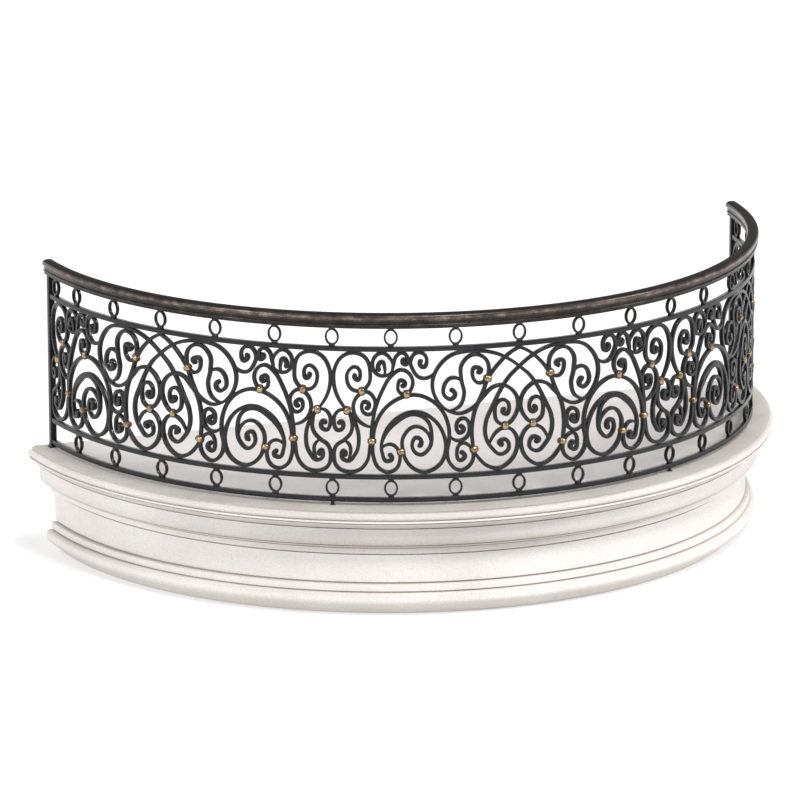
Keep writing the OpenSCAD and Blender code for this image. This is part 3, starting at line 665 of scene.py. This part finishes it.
bpy.ops.object.select_all(action="DESELECT")
bpy.ops.mesh.primitive_circle_add(vertices=26, radius=barrel[0][1] * MM, fill_type="NGON")
clasp = bpy.context.object
bpy.ops.object.mode_set(mode="EDIT")
bpy.ops.mesh.select_all(action="SELECT")
bpy.ops.transform.translate(value=(0, 0, barrel[0][0] * MM))
for (t0, r0), (t1, r1) in zip(barrel, barrel[1:]):
    bpy.ops.mesh.extrude_region_move(TRANSFORM_OT_translate={"value": (0, 0, (t1 - t0) * MM)})
    bpy.ops.transform.resize(value=(r1 / r0, r1 / r0, 1))
bpy.ops.object.mode_set(mode="OBJECT")
clasp.data.materials.append(soft_brass)
clasp.data.materials.append(brass_painted_shade)
# Faces beyond SHADED_RIMS_FROM from the barrel's middle take the painted shade.
for face in clasp.data.polygons:
    face.material_index = 1 if abs(face.center.z) > SHADED_RIMS_FROM else 0

for bay in (1, 2, 3):
    clasps = []
    for side in (1, -1):
        axis = (2 * bay - 4 - side) * HALF_BAY_ANGLE
        for s, z, lean in collar_places:
            spot = on_sheet((s, z))
            piece = copy_of(clasp)
            piece.data.transform(turned_to(axis + side * spot.x / RAIL_R, spot.y)
                                 @ Matrix.Rotation(-side * math.radians(lean), 4, "Y"))
            clasps.append(piece)
    collars = join(clasps)
    collars.name = f"collars_{bay}_barrels"
    outwards_and_smooth(collars, 50)
    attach(collars, "root")
    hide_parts(f"collars_{bay}")
bpy.data.objects.remove(clasp)

# Handrail: one moulded bronze-brown rail on top of the posts and rings, cut square at both ends.
# It is drawn through a die, bent cold and patinated; a painted highlight brightens a band on its sides,
# painted shade darkens its foot, its cove and its top, and its top is rougher.
HANDRAIL_W, HANDRAIL_H, HANDRAIL_OVER, HANDRAIL_STEPS = 0.064, 0.076, 0.018, 190
CROWN_H, BEAD_R, BEAD_Z = HANDRAIL_H * 0.41, 0.004, HANDRAIL_H * 0.25
LIP_W, LIP_H = 0.006, 0.007
HANDRAIL_END = POST_ANGLE + (POST_W / 2 + HANDRAIL_OVER) / RAIL_R

patina, tree, shader = new_finish("brown_bronze_patina", (0.025, 0.019, 0.016), 0.35, 0.36)
colour = ramp(tree, noise(tree, 17, 8, (1, 1, 1.6)),
              [(0.3, (0.013, 0.0098, 0.008)), (0.5, (0.034, 0.0262, 0.0222)), (0.72, (0.088, 0.069, 0.060))])
underside = CENTRE.z + HANDRAIL_Z
tall = share_between(tree, axes(tree, object_place(tree))["Z"], underside, underside + HANDRAIL_H)
# Painted highlight and shade by height: a band on the rail's sides is brightened about threefold, and the
# foot, the cove and the top are darkened.
painted_highlight_and_shade = ramp(tree, tall, [(0.1, grey(0.4)), (0.24, grey(1.0)), (0.34, grey(0.4)), (0.48, grey(0.3)),
                           (0.58, grey(3.2)), (0.78, grey(3.4)), (0.88, grey(0.6)), (0.96, grey(0.15))])
tree.links.new(times(tree, colour, painted_highlight_and_shade), shader.inputs["Base Color"])
waxed = ramp(tree, noise(tree, 40, 5), [(0.3, grey(0.18)), (0.7, grey(0.32))])
dusty = ramp(tree, tall, [(0.84, grey(0.0)), (0.94, grey(0.85))])
duller = tree.nodes.new("ShaderNodeMath")
duller.operation = "MAXIMUM"
tree.links.new(waxed, duller.inputs[0])
tree.links.new(dusty, duller.inputs[1])
tree.links.new(duller.outputs["Value"], shader.inputs["Roughness"])
bump(tree, shader, noise(tree, 120, 4), 0.16, 0.0008)

wide, high = HANDRAIL_W, HANDRAIL_H
rail_neck = [(wide * 0.33, 0), (wide * 0.33, BEAD_Z - BEAD_R)]
rail_bead = sweep((wide * 0.37, BEAD_Z), BEAD_R, BEAD_R, -90, 90, 8)
rail_cove = sweep((wide * 0.5 - 0.004, BEAD_Z + BEAD_R), wide * 0.17 - 0.004,
                  high - CROWN_H - BEAD_Z - BEAD_R, 180, 90, 8)
rail_lip = sweep((wide * 0.5 - LIP_W, high - CROWN_H + LIP_H), LIP_W, LIP_H, -90, 0, 6)[1:]
rail_crown = sweep((wide * 0.1, high - CROWN_H * 0.62), wide * 0.4, CROWN_H * 0.62, 0, 90, 14)[1:]
half_section = rail_neck + rail_bead + rail_cove + rail_lip + rail_crown
outline = [(RAIL_R + x, HANDRAIL_Z + z) for x, z in half_section]
outline += [(RAIL_R - x, HANDRAIL_Z + z) for x, z in reversed(half_section)]
handrail = spin_profile("handrail_moulding", outline, -HANDRAIL_END, HANDRAIL_END, HANDRAIL_STEPS, True)
bpy.ops.object.mode_set(mode="OBJECT")
outwards_and_smooth(handrail, 34)
handrail.data.materials.append(patina)
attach(handrail, "root")
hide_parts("handrail")

# Studio: a white floor that glows a little, a grey room with a bright backdrop low behind the railing,
# and three far, soft lamps: one high in front, one from the right and one from the left.
# The camera stands to the left and a little above, far off, as for a catalogue picture.
FLOOR_SIZE, FLOOR_MIDDLE, FLOOR_GLOW = 120, (0, 20, -0.0005), 0.5
bpy.ops.object.select_all(action="DESELECT")
bpy.ops.mesh.primitive_plane_add(size=FLOOR_SIZE, location=FLOOR_MIDDLE)
floor = bpy.context.object
floor.name = "studio_floor"
studio_white, tree, shader = new_finish("studio_white", grey(0.5), 0.0, 1.0)
shader.inputs["Emission Color"].default_value = (1.0, 1.0, 1.0, 1.0)
shader.inputs["Emission Strength"].default_value = FLOOR_GLOW
floor.data.materials.append(studio_white)

world = bpy.data.worlds.new("white_room")
bpy.context.scene.world = world
world.use_nodes = True
tree = world.node_tree
toward = axes(tree, tree.nodes.new("ShaderNodeTexCoord").outputs["Generated"])
sky = ramp(tree, toward["Z"], [(0.0, grey(0.26)), (0.25, grey(0.34)), (0.8, grey(0.6))])
behind = ramp(tree, toward["Y"], [(0.35, grey(0.0)), (0.8, grey(1.0))])
near_floor = ramp(tree, toward["Z"], [(0.35, grey(1.0)), (0.6, grey(0.0))])
backdrop = tree.nodes.new("ShaderNodeMix")
backdrop.data_type = "RGBA"
backdrop.inputs["B"].default_value = (1.25, 1.21, 1.195, 1)
tree.links.new(times(tree, behind, near_floor), backdrop.inputs["Factor"])
tree.links.new(sky, backdrop.inputs["A"])
tree.links.new(backdrop.outputs["Result"], tree.nodes["Background"].inputs["Color"])
tree.nodes["Background"].inputs["Strength"].default_value = 1.0
bpy.context.scene.view_settings.view_transform = "Standard"


def far_lamp(name, azimuth, elevation, strength, spread, tint):
    light = bpy.data.lights.new(name, "SUN")
    light.color = tint
    light.energy = strength
    light.angle = math.radians(spread)
    holder = bpy.data.objects.new(name, light)
    bpy.context.collection.objects.link(holder)
    holder.rotation_euler = (math.radians(90 - elevation), 0, math.radians(azimuth))


far_lamp("high_lamp", 5, 58, 1.7, 14, (1.0, 0.965, 0.95))
far_lamp("right_lamp", 66, 31, 1.2, 16, (1.0, 0.97, 0.96))
far_lamp("left_lamp", -70, 23, 0.82, 16, (1.0, 1.0, 0.965))

CAMERA_FROM = Vector((-11.2323, -31.1853, 8.7944))
PAN, DOWN, ROLL = -0.347388, 0.258228, -0.001917
FOCAL_PX, PHOTO_PX, SENSOR_W = 6417.5, 801, 36
view = bpy.data.cameras.new("catalogue_view")
camera = bpy.data.objects.new("catalogue_view", view)
bpy.context.collection.objects.link(camera)
camera.matrix_world = (Matrix.Translation(CENTRE + CAMERA_FROM) @ Matrix.Rotation(PAN, 4, "Z")
                       @ Matrix.Rotation(math.pi / 2 - DOWN, 4, "X") @ Matrix.Rotation(ROLL, 4, "Z"))
view.sensor_width = SENSOR_W
view.lens = FOCAL_PX / PHOTO_PX * SENSOR_W
view.clip_end = 300
bpy.context.scene.camera = camera
